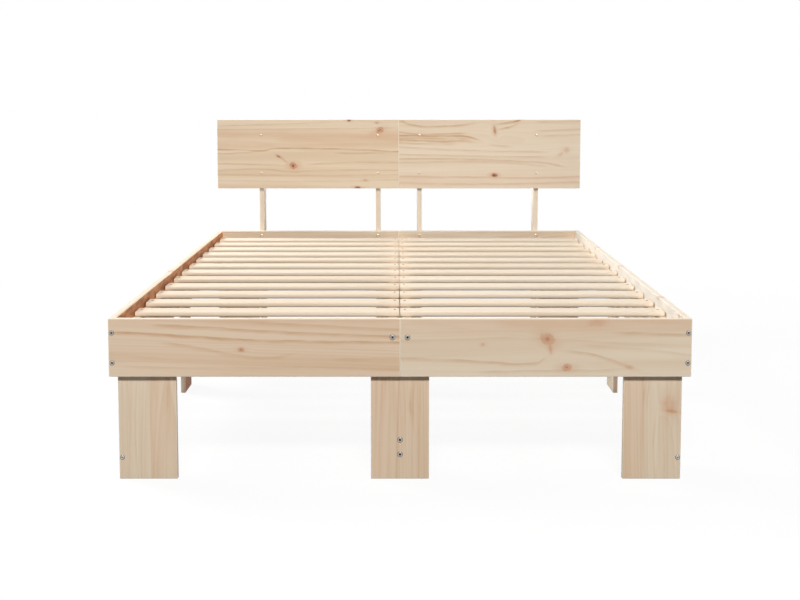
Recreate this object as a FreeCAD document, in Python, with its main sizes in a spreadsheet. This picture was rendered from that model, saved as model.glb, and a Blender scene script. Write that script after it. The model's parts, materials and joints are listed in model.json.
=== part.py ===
import FreeCAD, Part
import os
import Sketcher

# A knock-down double bed in pine. Every long panel is in two halves so that the bed packs small: two foot panel
# halves, two head rail halves, two headboard halves and four side rail halves. L-shaped corner legs, T-shaped
# middle legs and single boards at mid-length carry the frame. Ledgers on the side rails and a pair of strips on
# the centre line carry the half slats. Four posts stand edge on behind the head rail and hold the headboard.
# X runs across the bed, Y from foot to head, Z up; the origin is on the floor at the middle of the whole bed.

Vector = FreeCAD.Vector
doc = FreeCAD.newDocument("double_bed")

# Driving dimensions in millimetres, apart from the number of slat rows.
SIZES = [
    ("mattress_width", "1400", "clear width between the side rails"),
    ("mattress_length", "2000", "clear length between the foot panel and the head rail"),
    ("bed_height", "850", "floor to the top of the headboard"),
    ("board_thickness", "18", "thickness of rails, panels, headboard and posts"),
    ("board_ease", "1.5", "small flat taken off the long edges of the boards"),
    ("rail_height", "145", "height of foot panel, head rail and side rails"),
    ("rail_clearance", "263", "floor to the underside of the rails"),
    ("headboard_height", "272", "height of the headboard"),
    ("post_depth", "80", "depth of a post, front to back"),
    ("post_step", "1", "gap, seen from the front, between a post and the nearest leg board"),
    ("post_drop", "20", "top of the headboard down to the top of a post"),
    ("leg_thickness", "15", "thickness of the leg boards"),
    ("leg_face_width", "145", "width of the leg boards that face the foot or the head"),
    ("leg_side_width", "124", "width of the leg boards that stand along the bed"),
    ("strip_height", "22", "height of the ledgers and the centre strips"),
    ("strip_width", "22", "width of a centre strip"),
    ("ledger_width", "18", "width of a ledger"),
    ("slat_rows", "13", "number of slat rows"),
    ("slat_width", "68", "width of a slat"),
    ("slat_thickness", "14", "thickness of a slat"),
    ("slat_round", "5.5", "radius on the long edges of a slat"),
    ("slat_recess", "21", "top of the rails down to the top of the slats"),
    ("slat_end_gap", "56", "first and last slat to the panel beside it"),
    ("slat_side_gap", "4", "outer end of a slat to the side rail"),
    ("slat_middle_gap", "2", "gap between the two half slats of a row"),
    ("screw_inset", "35", "edge of a rail to the screws at its ends"),
    ("post_screw_inset", "19", "edge of the head rail to the screws into the posts"),
    ("headboard_screw_inset", "61", "edge of the headboard to the screws into the posts"),
    ("corner_screw_height", "55", "floor to the lower screw of a corner leg"),
    ("middle_screw_height", "63", "floor to the lowest screw of a middle leg"),
    ("middle_screw_spacing", "37", "distance between the two low screws of a middle leg"),
    ("leg_screw_inset", "30", "edge of a leg board to the screws that fix it to rail, panel or strip"),
    ("head_height", "2", "how far every screw head stands out of the wood"),
    ("socket_depth", "1.5", "depth of the socket in every screw head"),
    ("large_head", "14", "head diameter of the large frame screws"),
    ("large_shank", "7", "shank diameter of the large frame screws"),
    ("large_length", "70", "length of the large frame screws"),
    ("large_socket", "5", "socket size of the large frame screws, across flats"),
    ("medium_head", "12", "head diameter of the medium frame screws"),
    ("medium_shank", "5", "shank diameter of the medium frame screws"),
    ("medium_length", "60", "length of the medium frame screws"),
    ("medium_socket", "4", "socket size of the medium frame screws, across flats"),
    ("small_head", "10", "head diameter of the headboard screws"),
    ("small_shank", "5", "shank diameter of the headboard screws"),
    ("small_length", "50", "length of the headboard screws"),
    ("small_socket", "3", "socket size of the headboard screws, across flats"),
    ("short_head", "8", "head diameter of the short wood screws"),
    ("short_shank", "4", "shank diameter of the short wood screws"),
    ("short_length", "28", "length of the short wood screws"),
    ("shank_clearance", "0.2", "room round a screw's shank in its hole"),
    ("overrun", "1", "how far every cutter runs past the face it enters"),
]

sheet = doc.addObject("Spreadsheet::Sheet", "Sizes")
for row, (alias, number, meaning) in enumerate(SIZES, start=1):
    sheet.set(f"A{row}", meaning)
    sheet.set(f"B{row}", number)
    sheet.setAlias(f"B{row}", alias)
doc.recompute()

# Places that several pieces share, worked out from the driving dimensions.
BOARD = "Sizes.board_thickness"
HALF_INSIDE = "(Sizes.mattress_width / 2)"
HALF_OUTSIDE = f"({HALF_INSIDE} + {BOARD})"
HALF_LENGTH = "(Sizes.mattress_length / 2)"
FOOT_FACE = f"((Sizes.head_height - Sizes.mattress_length - 2 * {BOARD} - Sizes.post_depth) / 2)"
FOOT_INSIDE = f"({FOOT_FACE} + {BOARD})"
MIDDLE = f"({FOOT_INSIDE} + {HALF_LENGTH})"
HEAD_INSIDE = f"({FOOT_INSIDE} + Sizes.mattress_length)"
HEAD_BACK = f"({HEAD_INSIDE} + {BOARD})"
RAIL_TOP = "(Sizes.rail_clearance + Sizes.rail_height)"
SLAT_TOP = f"({RAIL_TOP} - Sizes.slat_recess)"
SLAT_UNDERSIDE = f"({SLAT_TOP} - Sizes.slat_thickness)"
LEG_TOP = f"({SLAT_UNDERSIDE} - Sizes.strip_height)"
HEADBOARD_BOTTOM = "(Sizes.bed_height - Sizes.headboard_height)"
HALF_WEB = "(Sizes.leg_thickness / 2)"
SLAT_LENGTH = f"({HALF_INSIDE} - Sizes.slat_side_gap - Sizes.slat_middle_gap / 2)"
SLAT_FIRST = f"({FOOT_INSIDE} + Sizes.slat_end_gap)"
SLAT_PITCH = "((Sizes.mattress_length - 2 * Sizes.slat_end_gap - Sizes.slat_width) / (Sizes.slat_rows - 1))"
OUTER_POST = f"({HALF_INSIDE} - Sizes.leg_face_width - Sizes.post_step - {BOARD} / 2)"
INNER_POST = f"(Sizes.leg_face_width / 2 + Sizes.post_step + {BOARD} / 2)"

ALONG = {"X": Vector(1, 0, 0), "Y": Vector(0, 1, 0), "Z": Vector(0, 0, 1)}
SIDES = ("left", "right")
ENDS = ("foot", "head")


def value(expression):
    """The number that an expression on the sheet comes to."""
    return float(sheet.evalExpression(expression))


def low_x(side, near, far):
    """The lower X of a span that lies from near to far off the centre line, on one side."""
    return near if side == "right" else f"-({far})"


def low_y(end, near, far):
    """The lower Y of a span that lies from near to far inside the foot panel or the head rail."""
    return f"{FOOT_INSIDE} + {near}" if end == "foot" else f"{HEAD_INSIDE} - ({far})"


# Boards

def footprint(body, across, along):
    """A rectangle on the ground plane with a corner at the body's origin, both sides bound to the sheet."""
    ground = next(plane for plane in body.Origin.OriginFeatures if plane.Role == "XY_Plane")
    sketch = body.newObject("Sketcher::SketchObject", "Footprint")
    sketch.AttachmentSupport = [(ground, "")]
    sketch.MapMode = "FlatFace"
    far_x, far_y = value(across), value(along)
    corners = [Vector(0, 0, 0), Vector(far_x, 0, 0), Vector(far_x, far_y, 0), Vector(0, far_y, 0)]
    for start, end in zip(corners, corners[1:] + corners[:1]):
        sketch.addGeometry(Part.LineSegment(start, end), False)
    sides = range(len(corners))
    for side in sides:
        sketch.addConstraint(Sketcher.Constraint("Coincident", side, 2, (side + 1) % len(corners), 1))
        sketch.addConstraint(Sketcher.Constraint("Vertical" if side % 2 else "Horizontal", side))
    sketch.addConstraint(Sketcher.Constraint("Coincident", 0, 1, -1, 1))
    for name, kind, side, length, expression in (
        ("across", "DistanceX", 0, far_x, across),
        ("along", "DistanceY", 1, far_y, along),
    ):
        index = sketch.addConstraint(Sketcher.Constraint(kind, side, 1, side, 2, length))
        sketch.renameConstraint(index, name)
        sketch.setExpression(f"Constraints.{name}", expression)
    return sketch


def edges_along(shape, axis):
    """Names of the straight edges that run along one axis."""
    found = []
    for number, edge in enumerate(shape.Edges, start=1):
        run = edge.Vertexes[-1].Point - edge.Vertexes[0].Point
        if run.cross(ALONG[axis]).Length < edge.Length * Part.Precision.angular():
            found.append(f"Edge{number}")
    return found


def board(label, low, size, grain, radius=None):
    """A board with its lowest corner and its three sizes on the sheet, and its long edges eased.

    The long edges are rounded instead where a radius is given.
    """
    body = doc.addObject("PartDesign::Body", label)
    blank = body.newObject("PartDesign::Pad", "Blank")
    blank.Profile = footprint(body, size[0], size[1])
    blank.setExpression("Length", size[2])
    doc.recompute()
    edges = edges_along(blank.Shape, grain)
    if radius:
        rounded = body.newObject("PartDesign::Fillet", "Rounded")
        rounded.Base = (blank, edges)
        rounded.setExpression("Radius", radius)
    else:
        eased = body.newObject("PartDesign::Chamfer", "Eased")
        eased.Base = (blank, edges)
        eased.setExpression("Size", "Sizes.board_ease")
    for axis, place in zip("xyz", low):
        body.setExpression(f"Placement.Base.{axis}", place)
    return body


boards = {}


def add_board(label, low, size, grain):
    boards[label] = board(label, low, size, grain)


for side in SIDES:
    start = low_x(side, "0", HALF_OUTSIDE)
    panel = (HALF_OUTSIDE, BOARD, "Sizes.rail_height")
    top_panel = (HALF_OUTSIDE, BOARD, "Sizes.headboard_height")
    add_board(f"foot_panel_{side}", (start, FOOT_FACE, "Sizes.rail_clearance"), panel, "X")
    add_board(f"head_rail_{side}", (start, HEAD_INSIDE, "Sizes.rail_clearance"), panel, "X")
    add_board(f"headboard_{side}", (start, HEAD_INSIDE, HEADBOARD_BOTTOM), top_panel, "X")

    post_size = (BOARD, "Sizes.post_depth", "Sizes.bed_height - Sizes.post_drop")
    for name, centre in (("outer", OUTER_POST), ("inner", INNER_POST)):
        start = low_x(side, f"{centre} - {BOARD} / 2", f"{centre} + {BOARD} / 2")
        add_board(f"post_{side}_{name}", (start, HEAD_BACK, "0"), post_size, "Z")

    leg_start = low_x(side, f"{HALF_INSIDE} - Sizes.leg_thickness", HALF_INSIDE)
    leg_size = ("Sizes.leg_thickness", "Sizes.leg_side_width", LEG_TOP)
    leg_low = (leg_start, f"{MIDDLE} - Sizes.leg_side_width / 2", "0")
    add_board(f"middle_side_leg_{side}", leg_low, leg_size, "Z")

    rail_start = low_x(side, HALF_INSIDE, HALF_OUTSIDE)
    ledger_start = low_x(side, f"{HALF_INSIDE} - Sizes.ledger_width", HALF_INSIDE)
    strip_start = low_x(side, HALF_WEB, f"{HALF_WEB} + Sizes.strip_width")
    face_start = low_x(side, f"{HALF_INSIDE} - Sizes.leg_face_width", HALF_INSIDE)
    for end in ENDS:
        half = low_y(end, "0", HALF_LENGTH)
        rail_size = (BOARD, HALF_LENGTH, "Sizes.rail_height")
        ledger_size = ("Sizes.ledger_width", HALF_LENGTH, "Sizes.strip_height")
        strip_size = ("Sizes.strip_width", HALF_LENGTH, "Sizes.strip_height")
        add_board(f"side_rail_{side}_{end}", (rail_start, half, "Sizes.rail_clearance"), rail_size, "Y")
        add_board(f"ledger_{side}_{end}", (ledger_start, half, LEG_TOP), ledger_size, "Y")
        add_board(f"centre_strip_{side}_{end}", (strip_start, half, LEG_TOP), strip_size, "Y")

        face_low = (face_start, low_y(end, "0", "Sizes.leg_thickness"), "0")
        face_size = ("Sizes.leg_face_width", "Sizes.leg_thickness", LEG_TOP)
        add_board(f"corner_leg_{side}_{end}_face", face_low, face_size, "Z")
        behind_face = low_y(end, "Sizes.leg_thickness", "Sizes.leg_thickness + Sizes.leg_side_width")
        add_board(f"corner_leg_{side}_{end}_side", (leg_start, behind_face, "0"), leg_size, "Z")

web_size = ("Sizes.leg_thickness", "Sizes.leg_side_width", SLAT_UNDERSIDE)
for end in ENDS:
    face_low = ("-Sizes.leg_face_width / 2", low_y(end, "0", "Sizes.leg_thickness"), "0")
    face_size = ("Sizes.leg_face_width", "Sizes.leg_thickness", LEG_TOP)
    add_board(f"middle_leg_{end}_face", face_low, face_size, "Z")
    behind_face = low_y(end, "Sizes.leg_thickness", "Sizes.leg_thickness + Sizes.leg_side_width")
    add_board(f"middle_leg_{end}_web", (f"-{HALF_WEB}", behind_face, "0"), web_size, "Z")
add_board("centre_leg", (f"-{HALF_WEB}", f"{MIDDLE} - Sizes.leg_side_width / 2", "0"), web_size, "Z")

# Slats: each row is a left and a right half whose inner ends meet over the centre strips.
slat_rows = {}
slat_size = (SLAT_LENGTH, "Sizes.slat_width", "Sizes.slat_thickness")
for number in range(int(value("Sizes.slat_rows"))):
    label = f"slat_row_{number + 1:02d}"
    halves = []
    for side in SIDES:
        near = "Sizes.slat_middle_gap / 2"
        low = (low_x(side, near, f"{near} + {SLAT_LENGTH}"), f"{SLAT_FIRST} + {number} * {SLAT_PITCH}", SLAT_UNDERSIDE)
        halves.append(board(f"{label}_{side}", low, slat_size, "X", "Sizes.slat_round"))
    pair = doc.addObject("Part::Compound", label)
    pair.Links = halves
    slat_rows[label] = pair


# Screws: flat round heads, most with a hexagonal socket. Heads and shanks are drawn with a few flat sides.
HEAD_SIDES = 12
SHANK_SIDES = 6
SOCKET_SIDES = 6
SOCKET_KINDS = ("large", "medium", "small")
PLAIN_KINDS = ("short",)


def shank(name, radius, low, length):
    """A straight shank along +Z."""
    bar = doc.addObject("Part::Prism", name)
    bar.Polygon = SHANK_SIDES
    bar.setExpression("Circumradius", radius)
    bar.setExpression("Height", length)
    bar.setExpression("Placement.Base.z", low)
    return bar


def plain_screw(kind):
    """One screw of a kind, its point towards +Z and the underside of its head at the origin."""
    head = doc.addObject("Part::Prism", f"{kind}_head")
    head.Polygon = HEAD_SIDES
    head.setExpression("Circumradius", f"Sizes.{kind}_head / 2")
    head.setExpression("Height", "Sizes.head_height")
    head.setExpression("Placement.Base.z", "-Sizes.head_height")
    whole = doc.addObject("Part::Fuse", f"{kind}_screw")
    whole.Base = head
    whole.Tool = shank(f"{kind}_shank", f"Sizes.{kind}_shank / 2", "0", f"Sizes.{kind}_length")
    return whole


def socket_screw(kind):
    """The same with a socket in its head."""
    socket = doc.addObject("Part::Prism", f"{kind}_socket")
    socket.Polygon = SOCKET_SIDES
    socket.setExpression("Circumradius", f"Sizes.{kind}_socket / sqrt(3)")
    socket.setExpression("Height", "Sizes.socket_depth + Sizes.overrun")
    socket.setExpression("Placement.Base.z", "-Sizes.head_height - Sizes.overrun")
    cut = doc.addObject("Part::Cut", f"{kind}_socket_screw")
    cut.Base = plain_screw(kind)
    cut.Tool = socket
    return cut


def drill(kind):
    """The hole that a screw of a kind needs, with room round its shank and past its point."""
    radius = f"Sizes.{kind}_shank / 2 + Sizes.shank_clearance"
    return shank(f"{kind}_drill", radius, "-Sizes.overrun", f"Sizes.{kind}_length + 2 * Sizes.overrun")


screws = {kind: socket_screw(kind) for kind in SOCKET_KINDS}
screws.update({kind: plain_screw(kind) for kind in PLAIN_KINDS})
drills = {kind: drill(kind) for kind in screws}
doc.recompute()

TO_HEAD = Vector(0, 1, 0)
TO_FOOT = Vector(0, -1, 0)
TO_RIGHT = Vector(1, 0, 0)
TO_LEFT = Vector(-1, 0, 0)


def both(place):
    """A place and its mirror image about the centre line."""
    return (f"-({place})", place)


def screws_at(direction, across, along, levels):
    """A screw at every crossing of some places across the bed, along it and up."""
    return [(direction, x, y, z) for x in across for y in along for z in levels]


RAIL_CENTRES = both(f"{HALF_INSIDE} + {BOARD} / 2")
RAIL_LEVELS = ("Sizes.rail_clearance + Sizes.screw_inset", f"{RAIL_TOP} - Sizes.screw_inset")
STRIP_CENTRES = both(f"{HALF_WEB} + Sizes.strip_width / 2")
STRIP_LEVEL = (f"{LEG_TOP} + Sizes.strip_height / 2",)
SIDE_BOARD_CENTRES = both(f"{HALF_INSIDE} - {HALF_WEB}")
CORNER_LEVEL = ("Sizes.corner_screw_height",)
MIDDLE_LEVELS = ("Sizes.middle_screw_height", "Sizes.middle_screw_height + Sizes.middle_screw_spacing")
POST_CENTRES = both(OUTER_POST) + both(INNER_POST)
HEAD_RAIL_LEVELS = ("Sizes.rail_clearance + Sizes.post_screw_inset", f"{RAIL_TOP} - Sizes.post_screw_inset")
HEADBOARD_LEVELS = (
    f"{HEADBOARD_BOTTOM} + Sizes.headboard_screw_inset",
    "Sizes.bed_height - Sizes.headboard_screw_inset",
)

# Short screws: through the leg boards into panels and rails, the ledgers into rails, the strips into the webs.
FIXING_LEVEL = (f"(Sizes.rail_clearance + {LEG_TOP}) / 2",)
FACE_BOARD_SCREWS = (
    both(f"{HALF_INSIDE} - Sizes.leg_face_width + Sizes.leg_screw_inset")
    + both(f"{HALF_INSIDE} - Sizes.leg_thickness - Sizes.leg_screw_inset")
    + both("Sizes.leg_face_width / 2 - Sizes.leg_screw_inset")
)
FACE_BACK_FOOT = f"{FOOT_INSIDE} + Sizes.leg_thickness"
FACE_BACK_HEAD = f"{HEAD_INSIDE} - Sizes.leg_thickness"
FROM_WEB_CENTRE = "(Sizes.leg_side_width / 2 - Sizes.leg_screw_inset)"
FOOT_WEB = f"({FACE_BACK_FOOT} + Sizes.leg_side_width / 2)"
HEAD_WEB = f"({FACE_BACK_HEAD} - Sizes.leg_side_width / 2)"
SIDE_BOARD_SCREWS = tuple(
    f"{centre} {sign} {FROM_WEB_CENTRE}" for centre in (FOOT_WEB, MIDDLE, HEAD_WEB) for sign in "-+"
)
LEDGER_SCREW_SHARES = (1 / 8, 3 / 8, 5 / 8, 7 / 8)
LEDGER_SCREWS = tuple(f"{FOOT_INSIDE} + {share} * Sizes.mattress_length" for share in LEDGER_SCREW_SHARES)
LEFT_STRIP_SCREWS = (FOOT_WEB, f"{MIDDLE} - {FROM_WEB_CENTRE}", f"{MIDDLE} + {FROM_WEB_CENTRE}", HEAD_WEB)
SIDE_BOARD_FACES = both(f"{HALF_INSIDE} - Sizes.leg_thickness")
LEDGER_FACES = both(f"{HALF_INSIDE} - Sizes.ledger_width")
STRIP_FACES = both(f"{HALF_WEB} + Sizes.strip_width")

SCREW_GROUPS = {
    "rail_screws": (
        "medium",
        screws_at(TO_HEAD, RAIL_CENTRES, (FOOT_FACE,), RAIL_LEVELS)
        + screws_at(TO_FOOT, RAIL_CENTRES, (HEAD_BACK,), RAIL_LEVELS),
    ),
    "strip_screws": (
        "large",
        screws_at(TO_HEAD, STRIP_CENTRES, (FOOT_FACE,), STRIP_LEVEL)
        + screws_at(TO_FOOT, STRIP_CENTRES, (HEAD_BACK,), STRIP_LEVEL),
    ),
    "corner_leg_screws": (
        "medium",
        screws_at(TO_HEAD, SIDE_BOARD_CENTRES, (FOOT_INSIDE,), CORNER_LEVEL)
        + screws_at(TO_FOOT, SIDE_BOARD_CENTRES, (HEAD_INSIDE,), CORNER_LEVEL),
    ),
    "middle_leg_screws": (
        "large",
        screws_at(TO_HEAD, ("0",), (FOOT_INSIDE,), MIDDLE_LEVELS)
        + screws_at(TO_FOOT, ("0",), (HEAD_INSIDE,), MIDDLE_LEVELS),
    ),
    "post_screws": ("large", screws_at(TO_HEAD, POST_CENTRES, (HEAD_INSIDE,), HEAD_RAIL_LEVELS)),
    "headboard_screws": ("small", screws_at(TO_HEAD, POST_CENTRES, (HEAD_INSIDE,), HEADBOARD_LEVELS)),
    "leg_fixing_screws": (
        "short",
        screws_at(TO_FOOT, FACE_BOARD_SCREWS, (FACE_BACK_FOOT,), FIXING_LEVEL)
        + screws_at(TO_HEAD, FACE_BOARD_SCREWS, (FACE_BACK_HEAD,), FIXING_LEVEL)
        + screws_at(TO_LEFT, SIDE_BOARD_FACES[:1], SIDE_BOARD_SCREWS, FIXING_LEVEL)
        + screws_at(TO_RIGHT, SIDE_BOARD_FACES[1:], SIDE_BOARD_SCREWS, FIXING_LEVEL),
    ),
    "ledger_screws": (
        "short",
        screws_at(TO_LEFT, LEDGER_FACES[:1], LEDGER_SCREWS, STRIP_LEVEL)
        + screws_at(TO_RIGHT, LEDGER_FACES[1:], LEDGER_SCREWS, STRIP_LEVEL),
    ),
    "web_screws": (
        "short",
        screws_at(TO_RIGHT, STRIP_FACES[:1], LEFT_STRIP_SCREWS, STRIP_LEVEL)
        + screws_at(TO_LEFT, STRIP_FACES[1:], LEFT_STRIP_SCREWS, STRIP_LEVEL),
    ),
}


def placed(shape, places):
    """Copies of a shape at every place of a screw group, turned to point into the wood."""
    copies = []
    for direction, x, y, z in places:
        copy = shape.copy()
        point = Vector(value(x), value(y), value(z))
        copy.Placement = FreeCAD.Placement(point, FreeCAD.Rotation(ALONG["Z"], direction)) * shape.Placement
        copies.append(copy)
    return copies


fasteners = {}
holes = []
for label, (kind, places) in SCREW_GROUPS.items():
    fasteners[label] = doc.addObject("Part::Feature", label)
    fasteners[label].Shape = Part.makeCompound(placed(screws[kind].Shape, places))
    holes.extend(placed(drills[kind].Shape, places))


# Drilling: every board loses the holes that reach into it.

def drilled(label, blank):
    """The board with its screw holes, or the board itself where no screw reaches it."""
    reaching = [hole for hole in holes if hole.BoundBox.intersect(blank.Shape.BoundBox)]
    reaching = [hole for hole in reaching if hole.common(blank.Shape).Volume > 0]
    if not reaching:
        return blank
    blank.Label = f"{label}_blank"
    cutter = doc.addObject("Part::Feature", f"{label}_holes")
    cutter.Shape = Part.makeCompound(reaching)
    cut = doc.addObject("Part::Cut", f"{label}_drilled")
    cut.Base = blank
    cut.Tool = cutter
    cut.Label = label
    return cut


pieces = {label: drilled(label, blank) for label, blank in boards.items()}
pieces.update(slat_rows)
pieces.update(fasteners)
doc.recompute()

# Every object has to have been made, and every piece has to be whole, before anything is written.
for item in doc.Objects:
    if {"Invalid", "Error"} & set(item.State):
        raise RuntimeError(f"{item.Label} failed: {item.State}")
for label, piece in pieces.items():
    shape = piece.Shape
    if shape.isNull() or not shape.isValid() or not shape.Solids:
        raise RuntimeError(f"{label} has no valid solid")

os.makedirs("parts", exist_ok=True)
for label, piece in pieces.items():
    piece.Shape.exportStep(f"parts/{label}.step")
solids = sum(len(piece.Shape.Solids) for piece in pieces.values())
print(f"{len(pieces)} nodes, {solids} solids")
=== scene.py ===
# %% [markdown]
# This lesson dresses a knock-down pine bed. The bed is a frame of plain boards, and its whole look is the
# wood: pale sapwood, faint growth rings, a few reddish knots, soft edges and small bright screw heads. The
# solid model already has every board at its true size and place. It could simply be painted, but its edges
# are flat cuts, so each board is made again here, with soft edges and with coordinates that follow its own
# grain. Lengths on the bed are in metres, and the marks in the grain are placed in millimetres.

# %% Load the frame
import json
import math
import random
from collections import namedtuple

import bmesh
import bpy
from mathutils import Euler, Matrix, Vector


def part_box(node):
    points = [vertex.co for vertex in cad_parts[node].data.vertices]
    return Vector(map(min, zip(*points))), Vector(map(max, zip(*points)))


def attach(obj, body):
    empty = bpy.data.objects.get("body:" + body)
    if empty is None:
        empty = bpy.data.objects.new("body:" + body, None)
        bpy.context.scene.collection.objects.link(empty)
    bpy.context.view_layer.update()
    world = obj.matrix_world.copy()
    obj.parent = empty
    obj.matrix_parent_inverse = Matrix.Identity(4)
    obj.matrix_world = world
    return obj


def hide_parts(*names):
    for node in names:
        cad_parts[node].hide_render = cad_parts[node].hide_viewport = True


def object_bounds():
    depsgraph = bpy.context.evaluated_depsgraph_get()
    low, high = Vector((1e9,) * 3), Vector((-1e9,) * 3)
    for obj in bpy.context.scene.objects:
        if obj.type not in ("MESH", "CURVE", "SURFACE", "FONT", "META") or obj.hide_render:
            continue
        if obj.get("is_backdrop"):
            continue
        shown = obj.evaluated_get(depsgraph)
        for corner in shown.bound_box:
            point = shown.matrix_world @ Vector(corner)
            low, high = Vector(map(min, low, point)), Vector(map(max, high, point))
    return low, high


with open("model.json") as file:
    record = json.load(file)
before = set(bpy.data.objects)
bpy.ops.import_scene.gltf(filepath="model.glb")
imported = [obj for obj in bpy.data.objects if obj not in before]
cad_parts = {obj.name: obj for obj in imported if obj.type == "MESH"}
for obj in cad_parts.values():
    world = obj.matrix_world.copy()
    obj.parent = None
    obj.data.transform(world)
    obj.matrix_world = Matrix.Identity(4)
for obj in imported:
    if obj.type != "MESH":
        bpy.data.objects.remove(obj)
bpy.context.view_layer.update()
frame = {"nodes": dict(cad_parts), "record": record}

nodes = frame["nodes"]

# %% [markdown]
# The picture was taken from the foot end, a little above the headboard, with all upright lines upright. A
# level camera with a large lens shift would do that, but every other view would then be pushed off centre.
# A slight tilt with a small shift keeps the uprights within two or three pixels and the other views framed.

# %% Camera
IMAGE_WIDTH = 800
FOCAL_PIXELS = 1317.6
SENSOR_WIDTH = 36.0
CAMERA_PLACE = Vector((-0.0079, -4.2515, 0.9676))
CAMERA_TILT = math.radians(5.648)
SHIFT_ACROSS = 0.004
SHIFT_UP = -0.10

camera_data = bpy.data.cameras.new("camera")
camera_data.sensor_width = SENSOR_WIDTH
camera_data.lens = FOCAL_PIXELS * SENSOR_WIDTH / IMAGE_WIDTH
camera_data.shift_x = SHIFT_ACROSS
camera_data.shift_y = SHIFT_UP
camera = bpy.data.objects.new("camera", camera_data)
camera.location = CAMERA_PLACE
camera.rotation_euler = Euler((math.pi / 2 - CAMERA_TILT, 0, 0))
bpy.context.scene.collection.objects.link(camera)
bpy.context.scene.camera = camera
print(f"camera: {camera_data.lens:.1f} mm lens, {math.degrees(CAMERA_TILT):.1f} degrees down")

# %% [markdown]
# Wood and metal finishes are networks of shader nodes. They could be wired by mouse in the node editor, but
# a script can be read and run again. Each node takes several lines, so a small bench puts a node down, sets
# it and plugs in its sockets, for materials and for the world alike. Colours are easier to judge as screen
# values, so they are written that way and turned into light values here.

# %% Colours and node bench
def screen(red, green, blue):
    """A screen colour from 0 to 255 as a linear colour."""
    def linear(level):
        share = level / 255
        return share / 12.92 if share <= 0.04045 else ((share + 0.055) / 1.055) ** 2.4
    return (linear(red), linear(green), linear(blue), 1.0)


class Bench:
    """Puts down and wires the nodes of one material or world."""

    def __init__(self, owner):
        owner.use_nodes = True
        self.owner = owner
        self.tree = owner.node_tree
        self.tree.nodes.clear()

    def put(self, kind, wires=None, **settings):
        """A node of one kind; each wire is another node's socket or a plain value."""
        node = self.tree.nodes.new(kind)
        for key, value in settings.items():
            setattr(node, key, value)
        for key, value in (wires or {}).items():
            if isinstance(value, bpy.types.NodeSocket):
                self.tree.links.new(value, node.inputs[key])
            else:
                node.inputs[key].default_value = value
        return node

    def math(self, operation, *values):
        """The result of one operation on numbers."""
        return self.put("ShaderNodeMath", dict(enumerate(values)), operation=operation).outputs[0]

    def vector(self, operation, *values):
        """The result of one operation on vectors."""
        return self.put("ShaderNodeVectorMath", dict(enumerate(values)), operation=operation).outputs[0]

    def length(self, vector):
        """How long a vector is."""
        return self.put("ShaderNodeVectorMath", {0: vector}, operation="LENGTH").outputs["Value"]

    def parts(self, vector):
        """The three numbers of a vector."""
        return self.put("ShaderNodeSeparateXYZ", {0: vector}).outputs

    def noise(self, vector, waves, detail=2.0, roughness=0.5, output="Fac"):
        """Smooth noise; the waves are counted to the metre, for each of the three directions."""
        place = self.vector("MULTIPLY", vector, waves)
        wires = {"Vector": place, "Scale": 1.0, "Detail": detail, "Roughness": roughness}
        return self.put("ShaderNodeTexNoise", wires).outputs[output]

    def lot(self, number, output="Value"):
        """A random value or colour that always belongs to the same number."""
        return self.put("ShaderNodeTexWhiteNoise", {"W": number}, noise_dimensions="1D").outputs[output]

    def ramp(self, value, start, stop, low=0.0, high=1.0):
        """A soft step from low to high as the value goes from start to stop."""
        wires = {"Value": value, "From Min": start, "From Max": stop, "To Min": low, "To Max": high}
        return self.put("ShaderNodeMapRange", wires, interpolation_type="SMOOTHSTEP").outputs[0]

    def mix(self, share, first, second):
        """The first colour with a share of the second."""
        return self.put("ShaderNodeMix", {0: share, 6: first, 7: second}, data_type="RGBA").outputs[2]

    def attribute(self, name, output):
        """A value that is stored on the mesh."""
        return self.put("ShaderNodeAttribute", attribute_name=name).outputs[output]

    def finish(self, shader, kind="ShaderNodeOutputMaterial"):
        """The material or world, with this shader as its surface."""
        self.put(kind, {"Surface": shader})
        return self.owner


print(f"bench ready, mid grey is {screen(128, 128, 128)[0]:.3f} in light")

# %% [markdown]
# A log is a stack of cones, one for each year: wide pale spring wood, then a thin darker line of summer
# wood. A board is a slice of it. If the colour is worked out from the distance to the log's heart, one rule
# draws long lines on the faces, straight lines on the edges and arcs on the ends. So every board carries
# two sets of coordinates: "log", its place in the log it was cut from, and "face", its place from the
# board's own centre, for the knots. A painted stripe would be quicker, but it would slide over the edges
# like wallpaper.

# %% Growth rings
RING_WIDTH = 0.0072
RING_STRAY = 0.016
RING_STRAY_WAVES = (1.3, 9.0, 9.0)
UNEVEN_WAVES = 60.0
UNEVEN_YEARS = 2.4
SUMMER_START = 0.20
SUMMER_FULL = 0.90
WINTER = 0.92
WEAK_YEAR = 0.25
DRIFT_WAVES = (0.8, 16.0, 16.0)
STREAK_WAVES = (2.0, 120.0, 120.0)
FIBRE_WAVES = (9.0, 700.0, 700.0)


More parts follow.
